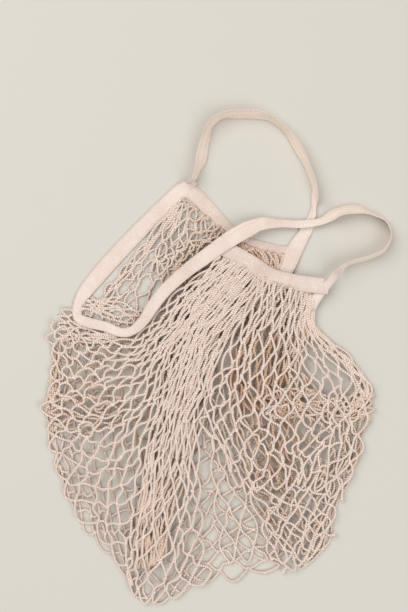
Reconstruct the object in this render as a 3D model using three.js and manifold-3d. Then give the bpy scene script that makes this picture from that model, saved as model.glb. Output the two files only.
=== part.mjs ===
// A string shopping bag lying flat: a knotted net bag with a strap that runs in one loop round both
// arm openings and makes the two carrying loops, and a short hem at the top of each side.
// Millimetres, +Z up. The ground is z = 0, and the origin is the middle of the bag's outline on it.
import * as THREE from "three";
import { mergeVertices } from "three/addons/utils/BufferGeometryUtils.js";
import Module from "manifold-3d";

const wasm = await Module();
wasm.setup();

// Driving dimensions
const bag_width = 441; // the whole outline across, carrying loops included
const bag_length = 625; // the whole outline along
const net_wall = 2.5; // thickness of the knotted net
const net_edge_height = 9; // height of the bag's folded sides over the ground
const net_crown_height = 16; // height of the near side between its folds
const fold_height = 8; // how far the tallest fold stands over the near side
const fold_breadth = 32; // half the breadth of a fold
const hem_height = 11.5; // underside of the near hem over the ground
const band_width = 20; // strap and hems, laid flat
const band_thickness = 2.5; // strap and hems
const clearance = 0.3; // gap between pieces that touch
const diamonds_across = 5; // net gaps across one side
const diamonds_down = 6; // net gaps from mouth to bottom
const gap_share = 0.64; // opening of a net gap as a share of its diamond
const mouth_yoke = 0.02; // solid edge of the net at the mouth, as a share of its length
const section_spacing = 9; // distance between the sections of a band

// Colours
const cord_colour = 0xe9dacd;
const band_colour = 0xeadfd5;

// Heights of the underside of a band that lies at level 0, 1, 2, 3 or 4
const layer = Math.max(band_thickness, net_wall) + clearance;
const level_heights = [0, layer, net_edge_height - band_thickness, hem_height, hem_height + layer];

// Places in the tables are percentages of the outline: across from its left edge, along from its bottom.
const placed = (row) =>
  new THREE.Vector3((row.across / 100 - 0.5) * bag_width, (row.along / 100 - 0.5) * bag_length, 0);

// The strap's loop in four runs. wide is the width seen from above as a share of the band's width, tilt
// is the roll of the band in degrees, and level is what it lies on.
const back_handle_rows = [
  { across: 42.9, along: 85.8, wide: 0.35, tilt: 55, level: 0 },
  { across: 44.0, along: 87.7, wide: 0.45, tilt: 60, level: 0 },
  { across: 45.2, along: 90.4, wide: 0.78, tilt: 35, level: 0 },
  { across: 46.2, along: 93.6, wide: 0.75, tilt: 40, level: 0 },
  { across: 47.9, along: 96.9, wide: 0.5, tilt: 58, level: 0 },
  { across: 51.0, along: 98.6, wide: 0.45, tilt: 60, level: 0 },
  { across: 56.1, along: 98.9, wide: 0.6, tilt: 50, level: 0 },
  { across: 60.6, along: 98.8, wide: 0.6, tilt: 50, level: 0 },
  { across: 64.3, along: 98.2, wide: 0.4, tilt: 60, level: 0 },
  { across: 68.6, along: 96.0, wide: 0.36, tilt: 62, level: 0 },
  { across: 72.5, along: 92.1, wide: 0.65, tilt: 45, level: 0 },
  { across: 75.4, along: 88.0, wide: 0.5, tilt: 55, level: 0 },
  { across: 77.3, along: 83.8, wide: 0.34, tilt: 60, level: 0 },
  { across: 77.2, along: 80.6, wide: 0.34, tilt: 25, level: 0 },
  { across: 76.6, along: 78.2, wide: 0.5, tilt: 0, level: 0 },
];
const right_side_rows = [
  { across: 74.7, along: 75.4, wide: 0.8, tilt: 0, level: 0 },
  { across: 72.2, along: 72.4, wide: 1, tilt: 0, level: 0 },
  { across: 69.4, along: 68.4, wide: 1, tilt: 0, level: 1 },
  { across: 63.2, along: 60.8, wide: 1, tilt: 0, level: 1 },
  { across: 57.5, along: 52.8, wide: 1, tilt: 0, level: 1 },
  { across: 54.7, along: 45.8, wide: 1, tilt: 0, level: 1 },
  { across: 56.9, along: 41.2, wide: 0.9, tilt: 0, level: 1 },
  { across: 62.6, along: 41.4, wide: 0.9, tilt: 0, level: 1 },
  { across: 67.7, along: 46.8, wide: 1, tilt: 0, level: 1 },
  { across: 72.0, along: 53.8, wide: 1, tilt: 0, level: 1.1 },
  { across: 75.6, along: 59.6, wide: 1, tilt: 0, level: 1.6 },
  { across: 79.3, along: 63.0, wide: 1, tilt: 0, level: 2.5 },
  { across: 82.4, along: 65.8, wide: 0.9, tilt: 0, level: 3 },
];
const front_handle_rows = [
  { across: 84.2, along: 67.9, wide: 0.55, tilt: 45, level: 1.5 },
  { across: 87.3, along: 69.2, wide: 0.32, tilt: 60, level: 0 },
  { across: 92.4, along: 70.2, wide: 0.32, tilt: 62, level: 0 },
  { across: 96.9, along: 71.8, wide: 0.34, tilt: 62, level: 0 },
  { across: 98.9, along: 74.6, wide: 0.34, tilt: 62, level: 0 },
  { across: 97.5, along: 77.6, wide: 0.4, tilt: 60, level: 0 },
  { across: 92.9, along: 79.2, wide: 0.45, tilt: 60, level: 0 },
  { across: 88.7, along: 80.0, wide: 0.75, tilt: 38, level: 0 },
  { across: 83.9, along: 79.4, wide: 0.7, tilt: 40, level: 0.3 },
  { across: 79.3, along: 77.6, wide: 0.45, tilt: 20, level: 1.3 },
  { across: 73.9, along: 77.0, wide: 0.5, tilt: 10, level: 1.4 },
  { across: 68.3, along: 77.1, wide: 0.5, tilt: 25, level: 1.3 },
  { across: 62.3, along: 77.0, wide: 0.8, tilt: 10, level: 2.4 },
  { across: 57.5, along: 75.6, wide: 1, tilt: 0, level: 3.6 },
];
const left_side_rows = [
  { across: 52.7, along: 73.6, wide: 1, tilt: 0, level: 4 },
  { across: 46.7, along: 70.6, wide: 0.95, tilt: 0, level: 3.6 },
  { across: 40.5, along: 67.3, wide: 0.85, tilt: 8, level: 3.2 },
  { across: 34.8, along: 63.6, wide: 0.8, tilt: 10, level: 3 },
  { across: 31.3, along: 60.4, wide: 0.78, tilt: 10, level: 3 },
  { across: 28.9, along: 57.8, wide: 0.7, tilt: 10, level: 2.9 },
  { across: 25.2, along: 55.7, wide: 0.6, tilt: 10, level: 2.8 },
  { across: 21.8, along: 55.6, wide: 0.65, tilt: 8, level: 2.6 },
  { across: 17.6, along: 56.6, wide: 0.75, tilt: 5, level: 2.3 },
  { across: 12.9, along: 57.2, wide: 0.78, tilt: 0, level: 2 },
  { across: 9.9, along: 59.2, wide: 0.8, tilt: 0, level: 1.2 },
  { across: 11.0, along: 62.4, wide: 0.9, tilt: 0, level: 0.2 },
  { across: 15.6, along: 66.6, wide: 1, tilt: 0, level: 0 },
  { across: 23.5, along: 72.8, wide: 1, tilt: 0, level: 0 },
  { across: 31.2, along: 78.3, wide: 1, tilt: 0, level: 0 },
  { across: 38.5, along: 83.2, wide: 1, tilt: 0, level: 0 },
  { across: 41.6, along: 84.9, wide: 0.7, tilt: 20, level: 0 },
];

// The hems. Both ends of the far hem and the right end of the near one meet the strap's middle line, and
// the left end of the near hem lies under the strap.
const front_hem_rows = [
  { across: 51.0, along: 72.2, wide: 0.95, tilt: 0, level: 3 },
  { across: 55.0, along: 70.8, wide: 1, tilt: 0, level: 3 },
  { across: 59.8, along: 68.8, wide: 1, tilt: 0, level: 3 },
  { across: 64.6, along: 66.6, wide: 1, tilt: 0, level: 3 },
  { across: 70.3, along: 65.5, wide: 1, tilt: 0, level: 3 },
  { across: 76.5, along: 64.8, wide: 1, tilt: 0, level: 3 },
  { across: 81.0, along: 64.5, wide: 1, tilt: 0, level: 2.9 },
];
const back_hem_rows = [
  { across: 39.9, along: 84.1, wide: 0.8, tilt: 0, level: 0 },
  { across: 42.6, along: 82.6, wide: 0.85, tilt: 0, level: 0 },
  { across: 45.6, along: 80.6, wide: 0.85, tilt: 0, level: 0 },
  { across: 49.6, along: 78.1, wide: 0.8, tilt: 0, level: 0 },
  { across: 53.8, along: 75.4, wide: 0.75, tilt: 0, level: 0 },
  { across: 58.1, along: 73.4, wide: 0.7, tilt: 0, level: 0 },
  { across: 63.5, along: 72.4, wide: 0.65, tilt: 0, level: 0 },
  { across: 68.6, along: 71.7, wide: 0.65, tilt: 0, level: 0 },
  { across: 72.4, along: 72.0, wide: 0.65, tilt: 0, level: 0 },
];

// The net's outline, from the mouth's left corner down, along the bottom, and from its right corner down
const left_fold_rows = [
  { across: 6.8, along: 56.4 },
  { across: 3.4, along: 53.8 },
  { across: 2.3, along: 48.8 },
  { across: 1.7, along: 44.2 },
  { across: -0.4, along: 39.8 },
  { across: 1.4, along: 34.8 },
  { across: 4.2, along: 29.8 },
  { across: 5.1, along: 22.8 },
  { across: 9.6, along: 18.4 },
  { across: 14.4, along: 12.8 },
  { across: 20.1, along: 7.0 },
  { across: 24.9, along: 3.2 },
];
const bottom_rows = [
  { across: 28.9, along: 0.2 },
  { across: 34.3, along: 1.8 },
  { across: 40.8, along: 3.5 },
  { across: 45.3, along: 5.4 },
  { across: 51.8, along: 6.6 },
  { across: 58.4, along: 6.8 },
  { across: 62.3, along: 8.2 },
  { across: 66.3, along: 6.8 },
  { across: 70.3, along: 5.8 },
  { across: 75.4, along: 8.0 },
];
const right_fold_rows = [
  { across: 76.8, along: 58.2 },
  { across: 78.5, along: 53.8 },
  { across: 85.3, along: 51.2 },
  { across: 91.5, along: 48.0 },
  { across: 93.3, along: 42.8 },
  { across: 92.4, along: 36.8 },
  { across: 89.5, along: 28.2 },
  { across: 87.3, along: 23.4 },
  { across: 83.3, along: 20.4 },
  { across: 82.7, along: 15.4 },
  { across: 77.6, along: 11.4 },
];
const mouth_left_corner = { across: 9.3, along: 57.6 };
const mouth_right_corner = { across: 79.6, along: 61.6 };

// Main folds of the near side: straight ridges, with rise as a share of fold_height and breadth as a
// share of fold_breadth. A negative rise is a dent.
const folds = [
  { across: 52, along: 69, to_across: 44, to_along: 54, rise: 0.8, breadth: 1 },
  { across: 44, along: 54, to_across: 37, to_along: 34, rise: 0.9, breadth: 0.9 },
  { across: 37, along: 34, to_across: 31, to_along: 10, rise: 0.8, breadth: 0.9 },
  { across: 70, along: 62, to_across: 60, to_along: 45, rise: 0.8, breadth: 0.9 },
  { across: 60, along: 40, to_across: 84, to_along: 43, rise: 1, breadth: 1 },
  { across: 70, along: 30, to_across: 70, to_along: 12, rise: 0.6, breadth: 1 },
  { across: 14, along: 46, to_across: 12, to_along: 28, rise: 0.7, breadth: 1.1 },
  { across: 52, along: 26, to_across: 50, to_along: 14, rise: -0.25, breadth: 1 },
];

// Small helpers
const mix = (a, b, share) => a + (b - a) * share;
const eased = (share) => {
  const t = Math.min(1, Math.max(0, share));
  return t * t * (3 - 2 * t);
};
const radians = THREE.MathUtils.degToRad;

function heightOf(level) {
  const below = Math.min(level_heights.length - 2, Math.floor(level));
  return mix(level_heights[below], level_heights[below + 1], level - below);
}

// A band's section from its tilt, its width across and the level it lies on
function sectionOf(row) {
  const tilt = radians(row.tilt);
  return { tilt, width: band_width * Math.min(1, row.wide / Math.cos(tilt)), level: row.level };
}

function middleOf(section) {
  const half_rise = (section.width * Math.sin(section.tilt) + band_thickness * Math.cos(section.tilt)) / 2;
  return heightOf(section.level) + half_rise;
}

// The middle line of a run of rows, with its sections blended between the rows
function bandLine(rows, closed = false) {
  const sections = rows.map(sectionOf);
  const curve = new THREE.CatmullRomCurve3(rows.map(placed), closed);
  curve.arcLengthDivisions = 40 * rows.length;
  const spans = closed ? rows.length : rows.length - 1;
  const sectionAt = (t) => {
    const place = Math.min(spans, Math.max(0, t * spans));
    const k = Math.min(spans - 1, Math.floor(place));
    const [a, b] = [sections[k], sections[(k + 1) % rows.length]];
    const blend = (key) => mix(a[key], b[key], eased(place - k));
    return { tilt: blend("tilt"), width: blend("width"), level: blend("level") };
  };
  const centreAt = (t) => curve.getPoint(t).setZ(middleOf(sectionAt(t)));
  const at = (t) => {
    const step = 0.1 / rows.length;
    const within = (share) => (closed ? (share + 1) % 1 : Math.min(1, Math.max(0, share)));
    const tangent = centreAt(within(t + step)).sub(centreAt(within(t - step))).normalize();
    return { centre: centreAt(t), tangent, ...sectionAt(t) };
  };
  return { curve, at, centreAt, length: curve.getLength() };
}

// A closed solid along a band line from share start to share end of its length, grown on its faces
function bandGeometry(line, start = 0, end = 1, growth = 0) {
  const steps = Math.max(2, Math.round(((end - start) * line.length) / section_spacing));
  const positions = [];
  for (let k = 0; k <= steps; k++) {
    const t = line.curve.getUtoTmapping(mix(start, end, k / steps));
    const { centre, tangent, tilt, width } = line.at(t);
    if (k === 0) centre.addScaledVector(tangent, -growth);
    if (k === steps) centre.addScaledVector(tangent, growth);
    const level_side = new THREE.Vector3(-tangent.y, tangent.x, 0).normalize();
    const side = level_side.applyAxisAngle(tangent, tilt);
    const face = new THREE.Vector3().crossVectors(tangent, side);
    const [half_width, half_depth] = [width / 2 + growth, band_thickness / 2 + growth];
    for (const [across, up] of [[1, 1], [-1, 1], [-1, -1], [1, -1]])
      positions.push(
        centre.clone().addScaledVector(side, across * half_width).addScaledVector(face, up * half_depth),
      );
  }
  const triangles = [];
  for (let k = 0; k < steps; k++)
    for (let c = 0; c < 4; c++) {
      const [a, b] = [4 * k + c, 4 * k + ((c + 1) % 4)];
      triangles.push([a, b, b + 4], [a, b + 4, a + 4]);
    }
  const last = 4 * steps;
  triangles.push([0, 2, 1], [0, 3, 2], [last, last + 1, last + 2], [last, last + 2, last + 3]);
  return geometryOf(positions, triangles);
}

function geometryOf(positions, triangles) {
  const geometry = new THREE.BufferGeometry().setFromPoints(positions);
  geometry.setIndex(triangles.flat());
  return geometry;
}

function solidFrom(geometry) {
  const bare = geometry.clone();
  for (const name of Object.keys(bare.attributes)) if (name !== "position") bare.deleteAttribute(name);
  const merged = mergeVertices(bare, 1e-3);
  return new wasm.Manifold(
    new wasm.Mesh({
      numProp: 3,
      vertProperties: merged.attributes.position.array,
      triVerts: new Uint32Array(merged.index.array),
    }),
  );
}

// A piece trimmed along its neighbour, without the offcut on the neighbour's far side
function largestBody(solid) {
  return solid.decompose().sort((a, b) => b.volume() - a.volume())[0];
}

function geometryFrom(solid) {
  const mesh = solid.getMesh();
  const geometry = new THREE.BufferGeometry();
  geometry.setAttribute("position", new THREE.BufferAttribute(mesh.vertProperties, mesh.numProp));
  geometry.setIndex(new THREE.BufferAttribute(mesh.triVerts, 1));
  return geometry;
}

// The strap's loop and its four runs
const runs = [back_handle_rows, right_side_rows, front_handle_rows, left_side_rows];
const strap = bandLine(runs.flat(), true);

// Share of the loop's length at a row of a run, or between two rows
function strapShare(run, row) {
  const before = runs.slice(0, run).reduce((sum, rows) => sum + rows.length, 0);
  const t = (before + row) / runs.flat().length;
  const lengths = strap.curve.getLengths();
  const place = t * (lengths.length - 1);
  const k = Math.min(lengths.length - 2, Math.floor(place));
  return mix(lengths[k], lengths[k + 1], place - k) / lengths[lengths.length - 1];
}

function strapRun(run, growth = 0) {
  const start = strapShare(run, 0);
  const end = run === runs.length - 1 ? 1 : strapShare(run + 1, 0);
  const half_gap = clearance / 2 / strap.length;
  return bandGeometry(strap, start + half_gap, end - half_gap, growth);
}

const front_hem = bandLine(front_hem_rows);
const back_hem = bandLine(back_hem_rows);
const strap_room = runs
  .map((rows, run) => solidFrom(strapRun(run, clearance)))
  .reduce((room, next) => room.add(next));
const front_hem_solid = largestBody(solidFrom(bandGeometry(front_hem)).subtract(strap_room));
const back_hem_solid = largestBody(solidFrom(bandGeometry(back_hem)).subtract(strap_room));

// The net's edges. The mouth's near edge follows the strap and the near hem, its far edge the strap and
// the far hem, and both sides share the two folds and the bottom.
const strapPoint = (share) => strap.centreAt(strap.curve.getUtoTmapping(share));
const flat = (point) => point.clone().setZ(0);

function smoothThrough(points) {
  const curve = new THREE.CatmullRomCurve3(points);
  curve.arcLengthDivisions = 40 * points.length;
  return curve;
}

function strapStretch(run, first_row, last_row, count) {
  const [start, end] = [strapShare(run, first_row), strapShare(run, last_row)];
  return Array.from({ length: count + 1 }, (_, k) => strapPoint(mix(start, end, k / count)));
}

const near_mouth = smoothThrough([
  placed(mouth_left_corner).setZ(net_edge_height - net_wall / 2),
  ...strapStretch(3, 9, 1, 8),
  ...front_hem_rows.slice(1).map((row) => placed(row).setZ(middleOf(sectionOf(row)))),
  placed(mouth_right_corner).setZ(hem_height + net_wall / 2),
]);
const far_mouth = smoothThrough([
  placed(mouth_left_corner),
  ...strapStretch(3, 11, 15, 6).map(flat),
  ...back_hem_rows.slice(1).map((row) => placed(row)),
  flat(strapPoint(strapShare(1, 2))),
  placed(mouth_right_corner),
]);
const left_fold = smoothThrough([mouth_left_corner, ...left_fold_rows, bottom_rows[0]].map(placed));
const bottom_edge = smoothThrough(bottom_rows.map(placed));
const right_fold = smoothThrough(
  [mouth_right_corner, ...right_fold_rows, bottom_rows[bottom_rows.length - 1]].map(placed),
);

// A point of one side of the net from its four edges: u runs across, v from the mouth to the bottom
function sidePlace(mouth, u, v) {
  const [top, low] = [mouth.getPointAt(u), bottom_edge.getPointAt(u)];
  const [left, right] = [left_fold.getPointAt(v), right_fold.getPointAt(v)];
  const corner = (uu, vv) => (vv ? bottom_edge : mouth).getPointAt(uu);
  const blend = (key) =>
    mix(top[key], low[key], v) +
    mix(left[key], right[key], u) -
    mix(mix(corner(0, 0)[key], corner(1, 0)[key], u), mix(corner(0, 1)[key], corner(1, 1)[key], u), v);
  return new THREE.Vector3(blend("x"), blend("y"), 0);
}

function foldRise(point) {
  let rise = 0;
  for (const fold of folds) {
    const from = placed(fold);
    const to = placed({ across: fold.to_across, along: fold.to_along });
    const nearest = new THREE.Line3(from, to).closestPointToPoint(point, true, new THREE.Vector3());
    const reach = nearest.distanceTo(point) / (fold.breadth * fold_breadth);
    rise = Math.abs(fold.rise) * Math.exp(-reach * reach) > Math.abs(rise)
      ? fold.rise * Math.exp(-reach * reach)
      : rise;
  }
  return rise * fold_height;
}

// Height of the near side's outer face: hem or strap at the mouth, folded edges, and a crown between
function nearHeight(u, v, place) {
  const crown = eased(3.5 * Math.min(u, 1 - u)) * eased(4 * (1 - v));
  const open = net_edge_height + crown * (net_crown_height - net_edge_height + foldRise(place));
  const mouth_middle = near_mouth.getPointAt(u).z + net_wall / 2;
  return mix(Math.max(mouth_middle, net_edge_height), open, eased(v / 0.2));
}

// The net as one hollow shell: two sides joined at both folds and at the bottom, open at the mouth, with
// a diamond gap in each cell that no edge cuts
function netShell() {
  const [columns, rows] = [2 * diamonds_across, 2 * diamonds_down];
  const positions = [];
  const numbers = new Map();
  const triangles = [];

  function sideAt(side, i, j) {
    const v = j < 1 ? j * (mouth_yoke + 1 / rows) : mouth_yoke + ((1 - mouth_yoke) * j) / rows;
    const capped = Math.min(1, v);
    const place = sidePlace(side === "near" ? near_mouth : far_mouth, i / columns, capped);
    return place.setZ(side === "near" ? nearHeight(i / columns, capped, place) : 0);
  }

  // Inner points lie a wall's thickness inside, also at the folds and at the bottom.
  function pointAt(side, skin, i, j) {
    const point = sideAt(side, i, j);
    if (skin === "outer") return point;
    const inward_i = i === 0 ? 1 : i === columns ? -1 : 0;
    const inward_j = j === rows ? -1 : 0;
    if (inward_i || inward_j) {
      const inward = flat(sideAt(side, i + inward_i, j + inward_j)).sub(flat(point));
      point.addScaledVector(inward.normalize(), net_wall * Math.hypot(inward_i, inward_j));
    }
    point.z += side === "near" ? -net_wall : net_wall;
    return point;
  }

  function number(side, skin, i, j) {
    const key = [side, skin, i.toFixed(4), j.toFixed(4)].join();
    if (!numbers.has(key)) numbers.set(key, positions.push(pointAt(side, skin, i, j)) - 1);
    return numbers.get(key);
  }

  const add = (outward, a, b, c) => triangles.push(outward ? [a, b, c] : [a, c, b]);
  const quad = (outward, a, b, c, d) => {
    add(outward, a, b, c);
    add(outward, a, c, d);
  };
  const around = [[-1, 0], [-0.5, 0.5], [0, 1], [0.5, 0.5], [1, 0], [0.5, -0.5], [0, -1], [-0.5, -0.5]];
  const inside = ([i, j]) => i >= 0 && i <= columns && j >= 0 && j <= rows;

  function cell(side, i, j) {
    const open = i > 0 && i < columns && j > 0 && j < rows;
    for (let k = 0; k < around.length; k++) {
      const [p, q] = [around[k], around[(k + 1) % around.length]];
      const [p_place, q_place] = [p, q].map(([di, dj]) => [i + di, j + dj]);
      if (!inside(p_place) || !inside(q_place)) continue;
      const rim = ([di, dj]) => [i + gap_share * di, j + gap_share * dj];
      for (const skin of ["outer", "inner"]) {
        const outward = (side === "near") === (skin === "outer");
        const n = (place) => number(side, skin, ...place);
        if (open) quad(outward, n(p_place), n(q_place), n(rim(q)), n(rim(p)));
        else add(outward, n(p_place), n(q_place), n([i, j]));
      }
      if (open) {
        const n = (skin, place) => number(side, skin, ...place);
        const corners = [n("outer", rim(p)), n("outer", rim(q)), n("inner", rim(q)), n("inner", rim(p))];
        quad(side === "near", ...corners);
      }
    }
  }

  for (const side of ["near", "far"])
    for (let i = 0; i <= columns; i++) for (let j = (i + 1) % 2; j <= rows; j += 2) cell(side, i, j);

  // The walls between both sides at an edge, from one lattice point to the next
  function edgeWall(outward, from, to) {
    for (const skin of ["outer", "inner"]) {
      const n = (side, place) => number(side, skin, ...place);
      quad(outward === (skin === "outer"), n("near", to), n("near", from), n("far", from), n("far", to));
    }
  }
  for (let j = 0; j < rows; j++) {
    edgeWall(true, [0, j], [0, j + 1]);
    edgeWall(false, [columns, j], [columns, j + 1]);
  }
  for (let i = 0; i < columns; i++) edgeWall(true, [i, rows], [i + 1, rows]);

  // The rim round the mouth
  for (const side of ["near", "far"])
    for (let i = 0; i < columns; i++) {
      const n = (skin, place) => number(side, skin, ...place);
      const [a, b] = [[i, 0], [i + 1, 0]];
      quad(side === "near", n("outer", a), n("outer", b), n("inner", b), n("inner", a));
    }
  for (const i of [0, columns]) {
    const n = (side, skin) => number(side, skin, i, 0);
    quad(i === 0, n("far", "outer"), n("near", "outer"), n("near", "inner"), n("far", "inner"));
  }
  return geometryOf(positions, triangles);
}

const hem_room = solidFrom(bandGeometry(front_hem, 0, 1, clearance)).add(
  solidFrom(bandGeometry(back_hem, 0, 1, clearance)),
);
const net_solid = largestBody(solidFrom(netShell()).subtract(strap_room).subtract(hem_room));

// The scene graph
function named(name, geometry, colour, roughness) {
  const material = new THREE.MeshStandardMaterial({ color: colour, roughness, metalness: 0 });
  geometry.computeVertexNormals();
  const mesh = new THREE.Mesh(geometry, material);
  mesh.name = name;
  return mesh;
}

const bag = new THREE.Group();
bag.add(named("net_body", geometryFrom(net_solid), cord_colour, 0.9));
bag.add(named("front_top_band", geometryFrom(front_hem_solid), band_colour, 0.85));
bag.add(named("back_top_band", geometryFrom(back_hem_solid), band_colour, 0.85));
bag.add(named("back_handle", strapRun(0), band_colour, 0.85));
bag.add(named("right_side_band", strapRun(1), band_colour, 0.85));
bag.add(named("front_handle", strapRun(2), band_colour, 0.85));
bag.add(named("left_side_band", strapRun(3), band_colour, 0.85));

export default bag;
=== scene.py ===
import math

import bpy
import numpy as np
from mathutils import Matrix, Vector


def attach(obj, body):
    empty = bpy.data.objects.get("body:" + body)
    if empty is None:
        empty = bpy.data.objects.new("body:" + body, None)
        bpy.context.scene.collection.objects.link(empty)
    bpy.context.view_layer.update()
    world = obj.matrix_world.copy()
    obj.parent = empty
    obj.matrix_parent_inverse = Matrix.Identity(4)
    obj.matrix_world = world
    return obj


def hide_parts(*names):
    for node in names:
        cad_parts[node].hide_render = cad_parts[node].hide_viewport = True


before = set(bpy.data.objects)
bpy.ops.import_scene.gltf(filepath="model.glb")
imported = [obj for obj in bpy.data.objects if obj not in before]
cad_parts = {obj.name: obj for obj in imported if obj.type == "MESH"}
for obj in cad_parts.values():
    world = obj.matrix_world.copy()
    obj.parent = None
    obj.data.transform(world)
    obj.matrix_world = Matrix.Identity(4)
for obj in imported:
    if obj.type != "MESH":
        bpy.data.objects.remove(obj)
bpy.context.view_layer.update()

# Driving values, in mm where nothing else is said
MM = 0.001
BAG_WIDTH, BAG_LENGTH = 441.0, 625.0  # outline of the bag as it lies
PX = 1.25  # mm of the bag for each pixel of the photograph
MIDDLE_PX = (218.5, 359.0)  # the frame's origin, in pixels of the photograph
PHOTO_PX = (408, 612)
TINY, LEAST_SPAN = 1e-9, 1e-4
CURVE_SAMPLES, LENGTH_SAMPLES = 24, 60  # for each given point, and for a whole line

# The tapes
NET_SHADE_BELOW = 62.0  # along, below which the strap lies under the near side of the net and takes painted shade
BAND_WIDTH = 20.0
BAND_THICKNESS = 2.5
LEVEL_HEIGHTS = [0.0, 2.8, 6.5, 11.5, 14.3]  # undersides of a band at levels 0 to 4
ON_EDGE = 90  # the roll that marks a row where the whole tape stands on its edge
TANGENT_STEP = 0.001  # share of a band's rows
STATION_SAMPLES, LEAST_STATIONS = 900, 8
STRAP_SPACING, HEM_SPACING = 2.2, 0.5
STRAP_RELIEF, HEM_RELIEF = 0.0, 0.22  # the courses' depth as a share of the tape's
RELIEF_PITCH = 2.1
STRAP_SEED, HEM_SEED = 11, 21
SELVEDGE = np.array([0.84, 0.9, 0.95, 0.985, 1.0])  # places across, from the middle to the edge
FACE_REACH, FACE_POINTS, FACE_ROUNDING = 0.76, 21, 3.2
GROOVE_PLACE, GROOVE_BREADTH, GROOVE_DEPTH = 0.74, 0.07, 0.16
CREASE_BREADTH, CREASE_DEPTH = 0.075, 0.75
WAVER_WAVES, WAVER_SHARE, WAVER_ENDS = 5, 0.009, 20.0  # the edges' small waves, none at the ends
SIDE_DEPTH, SEAM_GIRTH = 1.2, 0.6  # half the depth, and the last step round the section, for the UVs

# The net, with lengths in pixels where their names say so
CORD_DIAMETER = 3.0
STRING_PX = 19.5  # length of a string between two knots
EDGE_HEIGHT, CROWN_HEIGHT, FOLD_HEIGHT, FOLD_BREADTH = 7.0, 13.0, 7.5, 32.0
CROWN_REACH_PX = 42.0
GROUND_HEIGHT = 1.6
LOWEST_CORD, LOWEST_KNOT = CORD_DIAMETER / 2 + 0.05, CORD_DIAMETER / 2 + 0.4
LIFT = 0.7  # spread of the knots' heights
WIDEST_SHARE = 0.72  # where along its lines a layer's columns are evenly spaced
EVEN_SHARE = 0.25  # how far the columns are shared out by number, and not by distance
LATTICE_ROUNDS, LEAST_ROW = 4, 0.42  # a row's least height is a share of a string
GATHERED = 0.4  # share of the spare length that is taken up where a line starts
RELAX_STEPS, RELAX_RATE, FIRMNESS, SHORTEST = 120, 1.3, 0.05, 0.5
EDGE_HOLD = 0.75  # how firmly the knots of a layer's outer columns are held
CORD_SIDES, CORD_STEPS, LOOP_STEPS = 6, 10, 18
LOOP_REACH, LOOP_ROUND, LOOP_SPREAD = 1.55, 0.78, 0.12  # the loops at a layer's free edge
KNOT_SIDES, KNOT_STEPS, KNOT_SIZE = 5, 18, [0.68, 0.58, 0.9]
KNOT_RADIUS = 1.15  # of the cord in a knot
SEED = 7
DRIFT = 2.2  # smooth shift of the knots, as a multiple of a layer's unevenness
DRIFT_WAVES, DRIFT_SPAN_PX, PHASES = 6, (6, 13), 6.3
OPEN_PX, LEAST_OPEN = 7.0, 0.5  # columns this far apart bend freely, and crowded ones this much
BOW_OF_SLACK, MOST_BOW = 0.375, 0.3  # of a shallow arc, and as a share of a string
BOW_SHARES, BOW_SPREAD_PX, TWIST_SPREAD, HUMPS = (0.25, 0.75), 0.5, 0.12, (-0.3, 1.4)
LEAN, LEAN_START, LEAN_ACROSS_PX, LEAN_ALONG_PX = 0.8, 1.3, 17, 23  # neighbouring strings bow alike
PLY_LENGTHS, PLY_STARTS = (0.9, 1.15), (0, 40)
NEARLY_UP, FLATTENED = [0.02, 0.03, 1.0], [1, 1, 0.999]

# The looks: scales of noise are per metre, and pitches and bumps are in metres
PLY_RATE = 170.0  # turns for each metre
CORD_NOISE, BAND_NOISE = (28.0, 480.0, 1600.0), (22.0, 560.0, 1400.0)  # patches, speckles and fuzz
CORD_FIBRE, BAND_FIBRE = (0.98, 0.93, 0.87, 1.0), (0.99, 0.95, 0.9, 1.0)
PLY_BUMP, CORD_FUZZ_BUMP = 0.0009, 0.0003
STITCH_BUMP, BAND_FUZZ_BUMP = 0.0005, 0.00025
HALF_GIRTH = 0.0208  # half the way round a tape
CORD_SURFACE = {
    "Roughness": 0.93, "Specular IOR Level": 0.18, "Sheen Weight": 0.12, "Sheen Roughness": 0.5
}
BAND_SURFACE = {
    "Roughness": 0.9, "Specular IOR Level": 0.2, "Sheen Weight": 0.15, "Sheen Roughness": 0.45
}
PALE, HALF_SHADE, DEEP_SHADE = 0, 1, 2  # the net's tones: the cord's own colour, then painted half shade and painted deep shade for cords under other layers

# The stage, in metres
LENS, SENSOR, SCALE_HEIGHT = 50.0, 36.0, 0.008  # lens and sensor in mm
FLOOR_REACH, FLOOR_DROP = 6.0, 0.0002
FLOOR_COLOUR, FLOOR_ROUGHNESS = (0.61, 0.59, 0.545, 1.0), 0.8
LIGHTS = [  # name, place, size, watts and colour
    ("key", (-1.5, 1.3, 2.5), 2.6, 68.0, (1.0, 0.98, 0.95)),
    ("fill", (1.6, -1.4, 2.6), 2.4, 48.0, (1.0, 0.98, 0.96)),
]
WORLD_COLOUR, WORLD_STRENGTH = (1.0, 0.99, 0.97, 1.0), 0.45

# A band's rows: across and along in percent of the outline, the share of the band's width that shows,
# the roll in degrees or ON_EDGE, and the level it lies on
BACK_HANDLE = [
    (42.9, 85.8, 0.3, ON_EDGE, 0),
    (44.0, 87.7, 0.42, ON_EDGE, 0),
    (45.2, 90.4, 0.78, ON_EDGE, 0),
    (46.2, 93.6, 0.68, ON_EDGE, 0),
    (47.9, 96.9, 0.42, ON_EDGE, 0),
    (51.0, 98.6, 0.32, ON_EDGE, 0),
    (56.1, 98.9, 0.5, ON_EDGE, 0),
    (60.6, 98.8, 0.5, ON_EDGE, 0),
    (64.3, 98.2, 0.3, ON_EDGE, 0),
    (68.6, 96.0, 0.29, ON_EDGE, 0),
    (72.5, 92.1, 0.52, ON_EDGE, 0),
    (75.4, 88.0, 0.36, ON_EDGE, 0),
    (77.3, 83.8, 0.3, ON_EDGE, 0),
    (77.2, 80.6, 0.29, 25, 0),
    (76.6, 78.2, 0.5, 0, 0),
]
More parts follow.
